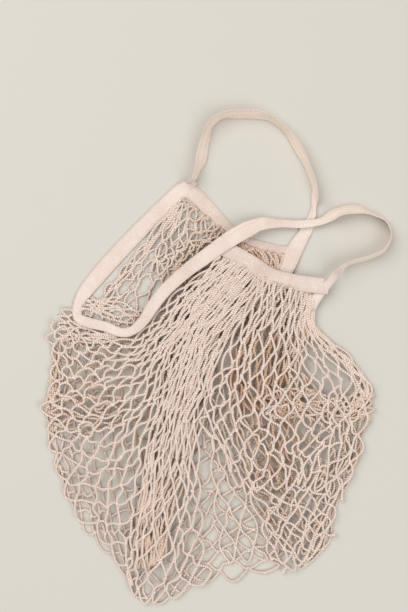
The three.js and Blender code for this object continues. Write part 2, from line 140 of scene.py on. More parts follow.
RIGHT_SIDE = [
    (74.7, 75.4, 0.8, 0, 0),
    (72.2, 72.4, 1, 0, 0),
    (69.4, 68.4, 1, 0, 1),
    (63.2, 60.8, 1, 0, 1),
    (57.5, 52.8, 1, 0, 1),
    (54.7, 45.8, 1, 0, 1),
    (56.9, 41.2, 0.9, 0, 1),
    (62.6, 41.4, 0.9, 0, 1),
    (67.7, 46.8, 1, 0, 1),
    (72.0, 53.8, 1, 0, 1.1),
    (75.3, 59.5, 0.8, 0, 1.6),
    (78.8, 63.2, 0.58, 0, 2.5),
    (82.0, 65.9, 0.5, 20, 3),
]
FRONT_HANDLE = [
    (84.3, 67.9, 0.42, ON_EDGE, 1.5),
    (87.3, 69.2, 0.32, ON_EDGE, 0),
    (92.4, 70.2, 0.32, ON_EDGE, 0),
    (96.9, 71.8, 0.34, ON_EDGE, 0),
    (98.9, 74.6, 0.34, ON_EDGE, 0),
    (97.5, 77.6, 0.4, ON_EDGE, 0),
    (92.9, 79.2, 0.45, ON_EDGE, 0),
    (88.7, 80.0, 0.75, ON_EDGE, 0),
    (83.9, 79.4, 0.7, ON_EDGE, 0.3),
    (79.3, 77.6, 0.45, 20, 1.3),
    (73.9, 77.0, 0.5, 10, 1.4),
    (68.3, 77.1, 0.5, 25, 1.3),
    (62.3, 77.0, 0.8, 10, 2.4),
    (57.5, 75.6, 1, 0, 3.6),
]
LEFT_SIDE = [
    (52.7, 73.6, 1, 0, 4),
    (46.7, 70.6, 0.95, 0, 3.6),
    (40.5, 67.3, 0.85, 8, 3.2),
    (34.8, 63.6, 0.8, 10, 3),
    (31.3, 60.4, 0.78, 10, 3),
    (28.6, 57.5, 0.66, 10, 2.9),
    (25.4, 55.6, 0.56, 10, 2.8),
    (22.6, 55.3, 0.56, 8, 2.6),
    (17.9, 56.5, 0.62, 5, 2.3),
    (13.0, 57.3, 0.66, 0, 2),
    (10.2, 58.3, 0.62, 0, 1.6),
    (9.9, 60.6, 0.6, 0, 0.5),
    (12.0, 63.4, 0.9, 0, 0.1),
    (15.6, 66.6, 1, 0, 0),
    (23.5, 72.8, 1, 0, 0),
    (31.2, 78.3, 1, 0, 0),
    (38.5, 83.2, 1, 0, 0),
    (41.6, 84.9, 0.7, 20, 0),
]
FRONT_HEM = [
    (51.0, 72.2, 0.95, 0, 3),
    (55.0, 70.8, 1, 0, 3),
    (59.8, 68.8, 1, 0, 3),
    (64.6, 66.6, 1, 0, 3),
    (70.3, 65.5, 1, 0, 3),
    (76.5, 64.8, 1, 0, 3),
    (81.0, 64.5, 1, 0, 2.9),
]
BACK_HEM = [
    (39.9, 84.1, 0.8, 0, 0),
    (43.0, 83.1, 0.95, 0, 0),
    (46.0, 81.1, 0.92, 0, 0),
    (49.7, 78.3, 0.85, 0, 0),
    (53.8, 75.4, 0.75, 0, 0),
    (58.1, 73.4, 0.7, 0, 0),
    (63.5, 72.4, 0.65, 0, 0),
    (68.6, 71.7, 0.65, 0, 0),
    (72.4, 72.0, 0.65, 0, 0),
]

# The net's outline in pixels, from the mouth's left corner down, round the bottom and up the right side
OUTLINE_PX = [
    (75, 321), (66, 327), (54, 340), (50, 365), (48, 388), (41, 410), (47, 435), (57, 460), (60, 495),
    (76, 517), (93, 545), (113, 574), (130, 593), (144, 608), (163, 600), (186, 592), (202, 582),
    (225, 576), (248, 575), (262, 568), (276, 575), (290, 580), (308, 569), (316, 552), (334, 532),
    (336, 507), (350, 492), (358, 468), (368, 425), (371, 395), (365, 369), (343, 353), (319, 340),
    (313, 318), (322, 300),
]
# Ridges of the near side in pixels: start, end, rise as a share of the fold height, breadth as a share
FOLDS_PX = [
    ((225.6, 264), (197.3, 339), 0.8, 1),
    ((197.3, 339), (172.6, 439), 0.9, 0.9),
    ((172.6, 439), (151.4, 559), 0.8, 0.9),
    ((289.1, 299), (253.8, 384), 0.8, 0.9),
    ((253.8, 409), (338.5, 394), 1, 1),
    ((289.1, 459), (289.1, 549), 0.6, 1),
    ((91.4, 379), (84.4, 469), 0.7, 1.1),
]

# The net's layers. Each is a lattice of knots between lines that run from its edge at the mouth to its
# far end, given in pixels of the photograph.
BACK_LINES = [
    [(175, 207), (163, 218), (150, 233), (135, 250), (121, 267), (106, 284), (92, 301), (82, 314),
     (66, 334), (54, 352), (49, 382)],
    [(180, 203), (170, 220), (156, 243), (141, 266), (126, 288), (108, 310), (82, 342), (60, 380),
     (45, 415)],
    [(186, 204), (178, 225), (166, 252), (152, 280), (136, 304), (112, 340), (84, 390), (62, 440),
     (58, 475)],
    [(194, 208), (188, 235), (178, 265), (164, 292), (146, 322), (122, 360), (96, 410), (78, 470),
     (74, 510)],
    [(206, 217), (200, 250), (188, 285), (172, 320), (148, 365), (120, 420), (98, 480), (90, 540)],
    [(220, 228), (214, 270), (200, 315), (182, 355), (160, 400), (138, 460), (122, 520), (114, 570)],
    [(236, 240), (230, 290), (216, 340), (200, 385), (180, 440), (160, 500), (148, 555), (143, 612)],
    [(252, 249), (248, 310), (238, 365), (222, 415), (206, 470), (192, 530), (181, 599)],
    [(268, 253), (268, 320), (260, 380), (246, 430), (232, 480), (218, 530), (214, 582)],
    [(284, 256), (288, 320), (284, 358), (283, 395), (288, 430), (292, 480), (288, 530), (279, 576)],
]
BACK_RIM_LINES = [
    [(305, 286), (305, 312), (316, 334), (338, 356), (356, 384), (354, 420), (343, 455), (330, 490),
     (324, 525), (300, 566)],
    [(315, 300), (312, 318), (322, 338), (346, 355), (370, 390), (367, 430), (357, 472), (336, 508),
     (332, 538), (305, 571)],
]
LEFT_LINES = [
    [(218.8, 257.9), (190, 280), (165, 302), (149, 323), (133, 336), (113, 340), (90, 334), (72, 327),
     (54, 322)],
    [(224.7, 259.7), (196, 284), (172, 307), (152, 330), (130, 345), (105, 348), (78, 343), (50, 338)],
    [(230.6, 261.6), (202, 288), (178, 313), (156, 337), (132, 358), (105, 368), (78, 370), (47, 370)],
    [(236.4, 263.5), (210, 291), (186, 316), (164, 342), (142, 370), (115, 390), (85, 400), (43, 408)],
    [(242.4, 265.4), (216, 294), (193, 319), (172, 348), (152, 382), (128, 414), (98, 440), (50, 450)],
    [(248.4, 268.4), (222, 297), (200, 323), (182, 352), (164, 390), (142, 430), (112, 470), (70, 508)],
    [(254.4, 272.4), (228, 301), (206, 327), (190, 357), (176, 396), (155, 445), (136, 505),
     (114, 568)],
    [(260.3, 276.3), (236, 305), (212, 332), (198, 360), (186, 402), (170, 450), (156, 505), (143, 556),
     (137, 604)],
    [(264.9, 279), (246, 309), (222, 336), (207, 364), (197, 406), (190, 406), (184, 450), (182, 500),
     (174, 552), (157, 608)],
    [(264, 279.5), (250, 309), (230, 337), (215, 365), (206, 406), (200, 450), (202, 500), (206, 545),
     (214, 580)],
]
RIVER_LINES = [
    [(221.6, 253.8), (190, 284), (172, 310), (166, 340), (160, 380), (152, 420), (143, 470), (136, 520),
     (131, 566)],
    [(234.8, 256), (206, 290), (188, 316), (177, 345), (170, 385), (162, 425), (151, 475), (143, 520),
     (139, 572)],
    [(248.8, 261), (220, 295), (200, 322), (189, 350), (181, 390), (173, 430), (161, 475), (151, 520),
     (148, 572)],
    [(260.8, 268), (232, 302), (211, 330), (199, 358), (191, 396), (184, 436), (172, 480), (160, 522),
     (156, 566)],
    [(267.2, 272.9), (246, 310), (224, 338), (210, 366), (201, 402), (195, 442), (186, 480), (172, 520),
     (165, 556)],
]
RIGHT_LINES = [
    [(259.4, 274.8), (240, 320), (222, 360), (205, 395), (200, 418), (214, 440)],
    [(267.2, 278.7), (250, 325), (234, 368), (220, 405), (222, 432), (232, 465)],
    [(277.2, 284.7), (262, 325), (250, 365), (240, 402), (243, 440), (250, 494)],
    [(289.1, 287.7), (277, 325), (268, 365), (262, 402), (264, 440), (268, 492)],
    [(298.8, 288.6), (290, 325), (284, 360), (284, 400), (286, 440), (286, 489)],
    [(306.4, 289.5), (302, 325), (304, 355), (308, 395), (308, 430), (302, 477)],
    [(312.3, 291.5), (309, 325), (322, 352), (334, 385), (328, 425), (311, 465)],
    [(315.3, 292.5), (313, 322), (335, 350), (354, 388), (350, 430), (338, 470), (328, 500)],
    [(318.4, 294.5), (315, 324), (345, 353), (371, 388), (368, 428), (358, 468), (342, 500)],
]
LOW_LINES = [
    [(236, 470), (250, 505), (262, 535), (272, 560)],
    [(256, 484), (268, 515), (277, 545), (283, 568)],
    [(278, 488), (287, 518), (293, 548), (295, 570)],
    [(300, 480), (308, 508), (309, 540), (305, 564)],
    [(320, 468), (326, 495), (323, 528), (315, 554)],
    [(344, 456), (344, 482), (338, 508), (330, 534)],
]
UNDER_LINES = [
    [(265.7, 275.3), (246, 322), (232, 360), (228, 400), (238, 445), (250, 490)],
    [(277.5, 281.2), (260, 325), (248, 362), (246, 402), (256, 448), (268, 490)],
    [(289.3, 284.1), (274, 326), (264, 364), (264, 402), (276, 446), (286, 490)],
    [(300.2, 285.8), (290, 328), (279, 364), (284, 402), (306, 440), (310, 485)],
    [(309.6, 286.7), (302, 330), (290, 362), (302, 400), (334, 438), (334, 480)],
    [(317.7, 288.7), (310, 330), (301, 360), (322, 396), (358, 430), (354, 474)],
]
MOUTH_LINES = [
    [(184, 200), (172, 213), (162, 231), (155, 250), (150, 272)],
    [(197, 209), (183, 216), (171, 232), (164, 252), (160, 276)],
    [(211, 220), (195, 226), (182, 240), (174, 258), (171, 282)],
    [(225, 231), (207, 238), (193, 250), (185, 266), (182, 287)],
    [(240, 243), (224, 250), (210, 262), (201, 276), (195, 292)],
    [(253, 249), (240, 260), (228, 272), (217, 286), (209, 300)],
]
EDGE_LINES = [
    [(176, 204), (160, 221), (144, 242), (127, 264), (109, 288), (92, 309)],
    [(181, 205), (167, 224), (150, 246), (133, 268), (116, 292), (99, 312)],
]
INNER_LINES = [
    [(234, 240), (244, 254), (256, 268), (268, 282)],
    [(247, 246), (257, 258), (267, 270), (276, 284)],
    [(260, 250), (267, 261), (273, 272), (281, 287)],
    [(273, 253), (276, 263), (279, 275), (286, 290)],
    [(287, 255), (285, 265), (283, 278), (292, 292)],
]
CORNER_LINES = [
    [(118, 328), (102, 323), (88, 318), (76, 313), (63, 308)],
    [(116, 334), (100, 330), (84, 325), (71, 320), (58, 317)],
    [(116, 338), (98, 337), (82, 333), (68, 330), (55, 328)],
    [(118, 343), (100, 344), (82, 342), (66, 341), (53, 340)],
]
HOLLOW_LINES = [
    [(82, 309), (96, 313), (110, 319), (126, 327)],
    [(86, 303), (102, 306), (118, 312), (134, 320)],
    [(92, 298), (108, 300), (124, 304), (141, 311)],
]
POUCH_LINES = [
    [(240, 466), (256, 500), (268, 530), (276, 556)],
    [(262, 470), (274, 502), (283, 532), (288, 560)],
    [(286, 474), (294, 504), (298, 532), (298, 558)],
    [(310, 470), (314, 498), (314, 524), (309, 550)],
    [(336, 458), (337, 482), (332, 508), (322, 536)],
]
LOBE_LINES = [
    [(50, 390), (68, 392), (92, 396), (120, 394)],
    [(47, 402), (68, 404), (94, 405), (122, 402)],
    [(51, 416), (70, 418), (96, 418), (124, 411)],
    [(57, 430), (76, 431), (100, 429), (126, 420)],
]
BAY_LINES = [
    [(206, 388), (204, 440), (206, 490), (212, 530), (222, 566)],
    [(226, 384), (226, 436), (230, 488), (238, 530), (246, 570)],
    [(246, 400), (248, 446), (252, 492), (262, 530), (272, 566)],
]
TAIL_LINES = [
    [(272, 496), (264, 524), (266, 550), (283, 572)],
    [(290, 486), (285, 518), (286, 548), (293, 576)],
    [(311, 480), (311, 512), (308, 542), (303, 569)],
    [(330, 478), (333, 506), (329, 531), (312, 556)],
]
RIM_LINES = [
    [(314, 298), (313, 318), (324, 337), (346, 351), (362, 370), (371, 394)],
    [(310, 296), (307, 322), (316, 343), (336, 357), (352, 376), (361, 398)],
]
CURL_LINES = [
    [(262, 392), (280, 388), (300, 390), (322, 394), (346, 394), (370, 392)],
    [(262, 400), (282, 396), (302, 398), (324, 401), (346, 401), (372, 401)],
    [(264, 408), (284, 406), (304, 406), (324, 408), (346, 408), (371, 410)],
    [(270, 418), (288, 416), (306, 415), (326, 416), (346, 416), (368, 420)],
]

# Where the net takes deeper painted shade than the rest of its layer, and where it stays pale with less
# over it: a middle line in pixels, and the reach from it
RIVER_SHADE = [(245, 262), (205, 310), (180, 370), (165, 440)], 34
RIGHT_SHADE = [(290, 300), (290, 350), (290, 420), (290, 500)], 30
BARE_BACK = [(175, 212), (150, 245), (105, 298)], 34
BARE_MOUTH = [(176, 222), (160, 262)], 14
INNER_SHADE = [(238, 246), (262, 266)], 7
UNDER_SHADE = [(256, 352), (272, 420), (290, 480)], 24
# Where a layer's tone changes down the photograph, in pixels
# These tones are painted shade, which starts or stops at these places
BACK_BARE_FROM, RIM_BARE_FROM, UNDER_BARE_TO = 430, 470, 326
RIVER_MIDDLE, RIVER_PALE_PX = 425, 55
# The curls' tones: pixels for each radian of a wave across and along, and the level above which a cord
# takes painted half shade
CURL_ACROSS, CURL_ALONG, CURL_SHADE_FROM = 3.1, 1.7, -0.2


# Small helpers
def millimetres(px):
    """Places of the photograph in mm of the frame."""
    px = np.asarray(px, float)
    return np.stack([(px[..., 0] - MIDDLE_PX[0]) * PX, (MIDDLE_PX[1] - px[..., 1]) * PX], -1)


def eased(share):
    """A share that starts and ends gently."""
    t = np.clip(share, 0.0, 1.0)
    return t * t * (3 - 2 * t)


def unit(v):
    return v / np.maximum(np.linalg.norm(v, axis=-1, keepdims=True), TINY)


def running_length(points):
    """The length along a line of points, 0 at its first."""
    return np.concatenate([[0], np.cumsum(np.linalg.norm(np.diff(points, axis=0), axis=1))])


def curve_points(points, ts, closed=False):
    """A centripetal Catmull-Rom curve through the points, at shares ts of its spans."""
    points = np.asarray(points, float)
    count = len(points)
    spans = count if closed else count - 1
    place = np.clip(np.asarray(ts, float), 0.0, 1.0) * spans
    k = np.minimum(place.astype(int), spans - 1)
    w = (place - k)[:, None]
    if closed:
        p0, p1, p2, p3 = (points[(k + d) % count] for d in (-1, 0, 1, 2))
    else:
        padded = np.vstack([2 * points[0] - points[1], points, 2 * points[-1] - points[-2]])
        p0, p1, p2, p3 = (padded[k + d] for d in range(4))
    gaps = [np.sqrt(np.linalg.norm(b - a, axis=1))[:, None] for a, b in ((p0, p1), (p1, p2), (p2, p3))]
    d1 = np.where(gaps[1] < LEAST_SPAN, 1.0, gaps[1])
    d0 = np.where(gaps[0] < LEAST_SPAN, d1, gaps[0])
    d2 = np.where(gaps[2] < LEAST_SPAN, d1, gaps[2])
    m1 = ((p1 - p0) / d0 - (p2 - p0) / (d0 + d1) + (p2 - p1) / d1) * d1
    m2 = ((p2 - p1) / d1 - (p3 - p1) / (d1 + d2) + (p3 - p2) / d2) * d1
    return (
        p1 + m1 * w + (-3 * p1 + 3 * p2 - 2 * m1 - m2) * w**2 + (2 * p1 - 2 * p2 + m1 + m2) * w**3
    )


def resampled(points, shares):
    """Points at shares of the length of a smooth curve through the given points."""
    ts = np.linspace(0, 1, CURVE_SAMPLES * len(points))
    run = running_length(curve_points(points, ts))
    return curve_points(points, np.interp(np.asarray(shares) * run[-1], run, ts))


def length_of(points):
    line = resampled(points, np.linspace(0, 1, LENGTH_SAMPLES))
    return np.linalg.norm(np.diff(line, axis=0), axis=1).sum()


def mesh_object(name, verts, faces, uvs, materials, materials_of):
    """A mesh in metres from vertices in mm, quads as one array, a UV for each corner and the number of
    each face's material."""
    mesh = bpy.data.meshes.new(name)
    verts, faces = np.asarray(verts, np.float32) * MM, np.asarray(faces, np.int32)
    mesh.vertices.add(len(verts))
    mesh.vertices.foreach_set("co", verts.ravel())
    mesh.loops.add(faces.size)
    mesh.loops.foreach_set("vertex_index", faces.ravel())
    mesh.polygons.add(len(faces))
    mesh.polygons.foreach_set("loop_start", np.arange(0, faces.size, faces.shape[1], dtype=np.int32))
    mesh.polygons.foreach_set("use_smooth", np.ones(len(faces), bool))
    for material in materials:
        mesh.materials.append(material)
    mesh.polygons.foreach_set("material_index", np.asarray(materials_of, np.int32))
    layer = mesh.uv_layers.new(name="uv")
    layer.data.foreach_set("uv", np.asarray(uvs, np.float32).ravel())
    mesh.update(calc_edges=True)
    mesh.validate()
    obj = bpy.data.objects.new(name, mesh)
    bpy.context.scene.collection.objects.link(obj)
    return obj


def dress(obj, slot, *nodes):
    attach(obj, "root")
    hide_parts(*nodes)


# Materials
class Nodes:
    """A short way to write a node material."""

    def __init__(self, name):
        self.material = bpy.data.materials.new(name)
        self.material.use_nodes = True
        self.tree = self.material.node_tree
        self.shader = self.tree.nodes["Principled BSDF"]

    def add(self, kind, inputs=None, **settings):
        node = self.tree.nodes.new(kind)
        for key, value in settings.items():
            setattr(node, key, value)
        for key, value in (inputs or {}).items():
            if isinstance(value, bpy.types.NodeSocket):
                self.tree.links.new(value, node.inputs[key])
            else:
                node.inputs[key].default_value = value
        return node

    def math(self, operation, a, b=0.0):
        return self.add("ShaderNodeMath", {0: a, 1: b}, operation=operation).outputs[0]

    def uv_axes(self):
        return self.add("ShaderNodeSeparateXYZ", {0: self.add("ShaderNodeUVMap", uv_map="uv").outputs[0]})

    def stepped(self, value, low, high, most):
        """A value between two levels as a share from 0 to most."""
        inputs = {0: value, 1: low, 2: high, 3: 0.0, 4: most}
        return self.add("ShaderNodeMapRange", inputs).outputs[0]

    def mix(self, share, a, b):
        node = self.add("ShaderNodeMix", {0: share, 6: a, 7: b}, data_type="RGBA", blend_type="MIX")
        return node.outputs[2]

    def noise(self, vector, scale, detail, roughness=0.6):
        inputs = {"Vector": vector, "Scale": scale, "Detail": detail, "Roughness": roughness}
        return self.add("ShaderNodeTexNoise", inputs).outputs["Fac"]

    def bump(self, height, distance, strength, normal=None):
        inputs = {"Height": height, "Distance": distance, "Strength": strength}
        if normal is not None:
            inputs["Normal"] = normal
        return self.add("ShaderNodeBump", inputs).outputs["Normal"]

    def link(self, output, name):
        self.tree.links.new(output, self.shader.inputs[name])

    def constants(self, values):
        for name, value in values.items():
            self.shader.inputs[name].default_value = value


def linear(channel):
    share = channel / 255
    return share / 12.92 if channel <= 10.31 else ((share + 0.055) / 1.055) ** 2.4


def srgb(red, green, blue):
    return (linear(red), linear(green), linear(blue), 1.0)


def cord_material(name, pale, shade, groove_shade_and_speckle_tone):
    """Two-ply cotton cord: diagonal plies along it with painted shade in the grooves between them, soft
    fuzz and uneven dye.
    """
    n = Nodes(name)
    place = n.add("ShaderNodeTexCoord").outputs["Object"]
    uv = n.uv_axes()
    turns = n.math("ADD", n.math("MULTIPLY", uv.outputs[0], PLY_RATE), uv.outputs[1])
    ply = n.math("ABSOLUTE", n.math("SINE", n.math("MULTIPLY", turns, math.pi * 2)))
    patches, speckles, fibres = CORD_NOISE
    patchy = n.noise(place, patches, 2.0)
    speckle = n.noise(place, speckles, 2.0, 0.7)
    fuzz = n.noise(place, fibres, 2.0)
    tone = n.mix(patchy, pale, shade)
    # Painted shade in the grooves between the plies; the speckles use the same darker colour
    groove_shade = n.math("MULTIPLY", n.math("POWER", n.math("SUBTRACT", 1.0, ply), 1.5), 0.7)
    with_groove_shade = n.mix(groove_shade, tone, groove_shade_and_speckle_tone)
    speckled = n.mix(n.stepped(speckle, 0.5, 0.7, 0.4), with_groove_shade, groove_shade_and_speckle_tone)
    n.link(n.mix(n.stepped(fuzz, 0.45, 0.7, 0.3), speckled, CORD_FIBRE), "Base Color")
    plies = n.bump(ply, PLY_BUMP, 0.9)
    n.link(n.bump(fuzz, CORD_FUZZ_BUMP, 0.5, plies), "Normal")
    n.constants(CORD_SURFACE)
    return n.material


def band_material(name, pale, shade, course_pitch, wale_pitch, course_share, groove_shade_share=0.4, steep_face_shade=None):
    """Fine knitted tape in a soft matt cotton: wales along it and courses across it, with painted shade in
    the knit's grooves and, on a flat tape, along its selvedges. A tape on its edge may have a warm beige of
    painted shade, which its steep faces show between the selvedges, with painted shade in their ribs."""
    n = Nodes(name)
    place = n.add("ShaderNodeTexCoord").outputs["Object"]
    uv = n.uv_axes()
    course = n.math("SINE", n.math("MULTIPLY", uv.outputs[0], 2 * math.pi / course_pitch))
    wale = n.math("SINE", n.math("MULTIPLY", uv.outputs[1], 2 * math.pi / wale_pitch))
    knit = n.math(
        "ADD", n.math("MULTIPLY", course, course_share), n.math("MULTIPLY", wale, 1 - course_share)
    )
    height = n.math("ADD", n.math("MULTIPLY", knit, 0.5), 0.5)
    patches, speckles, fibres = BAND_NOISE
    patchy = n.noise(place, patches, 3.0)
    speckle = n.noise(place, speckles, 2.0, 0.7)
    fuzz = n.noise(place, fibres, 2.0)
    tone = n.mix(n.stepped(patchy, 0.35, 0.65, 0.75), pale, shade)
    # Painted shade in the knit's grooves
    with_groove_shade = n.mix(n.math("MULTIPLY", n.math("SUBTRACT", 1.0, height), groove_shade_share), tone, shade)
    speckled = n.mix(n.stepped(speckle, 0.5, 0.72, 0.55), with_groove_shade, shade)
    off_edge = n.math("ABSOLUTE", n.math("SINE", n.math("MULTIPLY", uv.outputs[1], math.pi / HALF_GIRTH)))
    if steep_face_shade is None:
        # Painted shade along the selvedges, for a rolled edge
        speckled = n.mix(n.stepped(off_edge, 0.6, 0.15, 0.6), speckled, shade)
    else:
        normal = n.add("ShaderNodeSeparateXYZ", {0: n.add("ShaderNodeNewGeometry").outputs["Normal"]})
        steep = n.stepped(n.math("ABSOLUTE", normal.outputs[2]), 0.9, 0.6, 0.8)
        # Painted shade: steep faces take a warm beige between the selvedges, for the shaded inner face
        on_steep_face_shade = n.math("MULTIPLY", n.stepped(off_edge, 0.3, 0.65, 1.0), steep)
        speckled = n.mix(on_steep_face_shade, speckled, steep_face_shade)
        # Painted shade in the ribs of steep faces
        rib_shade = n.math("POWER", n.math("SUBTRACT", 1.0, height), 2.0)
        speckled = n.mix(n.math("MULTIPLY", rib_shade, n.math("MULTIPLY", steep, 0.3)), speckled, shade)
    n.link(n.mix(n.stepped(fuzz, 0.45, 0.7, 0.35), speckled, BAND_FIBRE), "Base Color")
    stitches = n.bump(height, STITCH_BUMP, 0.8)
    n.link(n.bump(fuzz, BAND_FUZZ_BUMP, 0.4, stitches), "Normal")
    n.constants(BAND_SURFACE)
    return n.material


# The cord in its own colour, then copies with painted half shade and painted deep shade for cords that lie
# under other layers
CORD_PALE_AND_PAINTED_SHADES = [
    cord_material("cord_pale", srgb(249, 234, 226), srgb(238, 217, 205), srgb(216, 184, 160)),
    cord_material("cord_painted_half_shade", srgb(243, 224, 211), srgb(228, 202, 181), srgb(200, 162, 130)),
    cord_material("cord_painted_deep_shade", srgb(230, 202, 178), srgb(206, 168, 136), srgb(172, 128, 90)),
]
STRAP_KNIT = band_material("strap_knit", srgb(238, 223, 215), srgb(214, 191, 179), 0.0019, 0.0023, 0.62)
# The strap's knit darker and browner: painted shade for where the net lies over it
SHADED_STRAP_KNIT = band_material("strap_knit_painted_shade", srgb(206, 172, 146), srgb(176, 136, 106), 0.0019, 0.0023, 0.62)
HANDLE_KNIT = band_material(
    "handle_knit", srgb(239, 224, 216), srgb(216, 193, 179), 0.0026, 0.0023, 0.7, steep_face_shade=srgb(247, 230, 213)
)
HEM_KNIT = band_material("hem_knit", srgb(239, 225, 217), srgb(207, 184, 172), 0.0021, 0.0060, 0.9, 0.8)

# Camera, floor and light
scene = bpy.context.scene
scene.view_settings.view_transform = "Standard"
centre = millimetres(((PHOTO_PX[0] / 2, PHOTO_PX[1] / 2),))[0] * MM
camera = bpy.data.objects.new("camera", bpy.data.cameras.new("camera"))
camera.data.lens, camera.data.sensor_width = LENS, SENSOR
camera.data.dof.use_dof = False
view_height = PHOTO_PX[1] * PX * MM / 2 / math.tan(math.atan(SENSOR / 2 / LENS))
camera.location = (centre[0], centre[1], view_height + SCALE_HEIGHT)
scene.collection.objects.link(camera)
scene.camera = camera

floor_mesh = bpy.data.meshes.new("floor")
floor_corners = [(FLOOR_REACH * x, FLOOR_REACH * y, 0) for x, y in ((-1, -1), (1, -1), (1, 1), (-1, 1))]
floor_mesh.from_pydata(floor_corners, [], [(0, 1, 2, 3)])
floor = bpy.data.objects.new("floor", floor_mesh)
floor.location.z = -FLOOR_DROP
scene.collection.objects.link(floor)
paper = Nodes("floor_paper")
paper.constants({"Base Color": FLOOR_COLOUR, "Roughness": FLOOR_ROUGHNESS})
floor_mesh.materials.append(paper.material)


def area_light(name, place, size, watts, colour):
    """A square light that faces the frame's origin."""
    data = bpy.data.lights.new(name, "AREA")
    data.shape, data.size, data.energy, data.color = "SQUARE", size, watts, colour
    lamp = bpy.data.objects.new(name, data)
    lamp.location = place
    lamp.rotation_mode = "QUATERNION"
    lamp.rotation_quaternion = (-Vector(place)).to_track_quat("-Z", "Y")
    scene.collection.objects.link(lamp)


for light in LIGHTS:
    area_light(*light)
world = bpy.data.worlds.new("world")
world.use_nodes = True
background = world.node_tree.nodes["Background"]
background.inputs[0].default_value = WORLD_COLOUR
background.inputs[1].default_value = WORLD_STRENGTH
scene.world = world


# Tapes
class Band:
    """The middle line of a run of rows, and its roll, width and height at each share. Where a row is
    ON_EDGE the whole tape is rolled until as much of its width shows as the row says."""

    def __init__(self, rows, closed=False):
        rows = np.asarray(rows, float)
        self.closed = closed
        self.plan = (rows[:, :2] / 100 - 0.5) * [BAG_WIDTH, BAG_LENGTH]
        tilt = np.radians(rows[:, 3])
        width = BAND_WIDTH * np.minimum(1.0, rows[:, 2] / np.cos(tilt))
        reach = math.hypot(BAND_WIDTH, BAND_THICKNESS)
        steep_tilt = math.atan2(BAND_THICKNESS, BAND_WIDTH) + np.arccos(BAND_WIDTH / reach * rows[:, 2])
        steep = rows[:, 3] == ON_EDGE
        tilt = np.where(steep, steep_tilt, tilt)
        width = np.where(steep, BAND_WIDTH, width)
        self.sections = np.stack([tilt, width, rows[:, 4]], 1)

    def at(self, ts):
        """The middles, rolls and widths at shares of the band's rows."""
        ts = np.asarray(ts, float)
        ts = np.where(ts > 1, ts - 1, np.where(ts < 0, ts + 1, ts)) if self.closed else ts
        count = len(self.sections)
        spans = count if self.closed else count - 1
        place = np.clip(ts, 0, 1) * spans
        k = np.minimum(place.astype(int), spans - 1)
        share = eased(place - k)[:, None]
        section = self.sections[k] * (1 - share) + self.sections[(k + 1) % count] * share
        tilt, width, level = section.T
        half_rise = (width * np.sin(tilt) + BAND_THICKNESS * np.cos(tilt)) / 2
        height = np.interp(level, range(len(LEVEL_HEIGHTS)), LEVEL_HEIGHTS) + half_rise
        return np.column_stack([curve_points(self.plan, ts, self.closed), height]), tilt, width

    def stations(self, start, end, spacing):
        """Shares at even lengths between two shares, and those lengths."""
        ts = np.linspace(start, end, STATION_SAMPLES)
        run = running_length(self.at(ts)[0])
        lengths = np.linspace(0, run[-1], max(LEAST_STATIONS, int(run[-1] / spacing)))
        return np.interp(lengths, run, ts), lengths


def tape_section(crease):
    """The tape's profile: places across (-1 to 1) and heights (-1 to 1), with thicker selvedges and, where
    the tape is folded lengthways, a crease at a place across."""
    face = np.linspace(-FACE_REACH, FACE_REACH, FACE_POINTS)
    across = np.concatenate([-SELVEDGE[::-1], face, SELVEDGE])
    rise = np.sqrt(1 - np.abs(across) ** FACE_ROUNDING)
    off_groove = (np.abs(across) - GROOVE_PLACE) / GROOVE_BREADTH
    rise = rise * (1 - GROOVE_DEPTH * np.exp(-(off_groove**2)))
    if crease is not None:
        rise = rise * (1 - CREASE_DEPTH * np.exp(-(((across - crease) / CREASE_BREADTH) ** 2)))
    top = np.column_stack([across, rise])
    low = np.column_stack([across[::-1][1:-1], -rise[::-1][1:-1]])
    return np.vstack([top, low])


def waver_of(lengths, rng):
    """A small uneven wave along a tape's edges, which dies out at its ends."""
    waver = sum(
        rng.uniform(0.3, 1.0) * np.sin(lengths / rng.uniform(9, 40) + rng.uniform(0, 6))
        for _ in range(WAVER_WAVES)
    )
    return waver * eased(np.minimum(lengths, lengths[-1] - lengths) / WAVER_ENDS)


def cap_faces(rows, columns, half, lengths, girth):
    """Quads and UVs that close a tape's two ends, whose vertices follow those of its rows."""
    faces, uvs = [], []
    for end_number, row in enumerate((0, rows - 1)):
        base = (rows + end_number) * columns
        for a in range(half):
            b = a + 1
            quad = [base + a, base + b, base + (columns - b) % columns, base + (columns - a) % columns]
            faces.append(quad if end_number else quad[::-1])
            uvs.append([(lengths[row] * MM, girth[i % columns] * MM) for i in (a, b, b, a)])
    return np.array(faces), np.array(uvs)


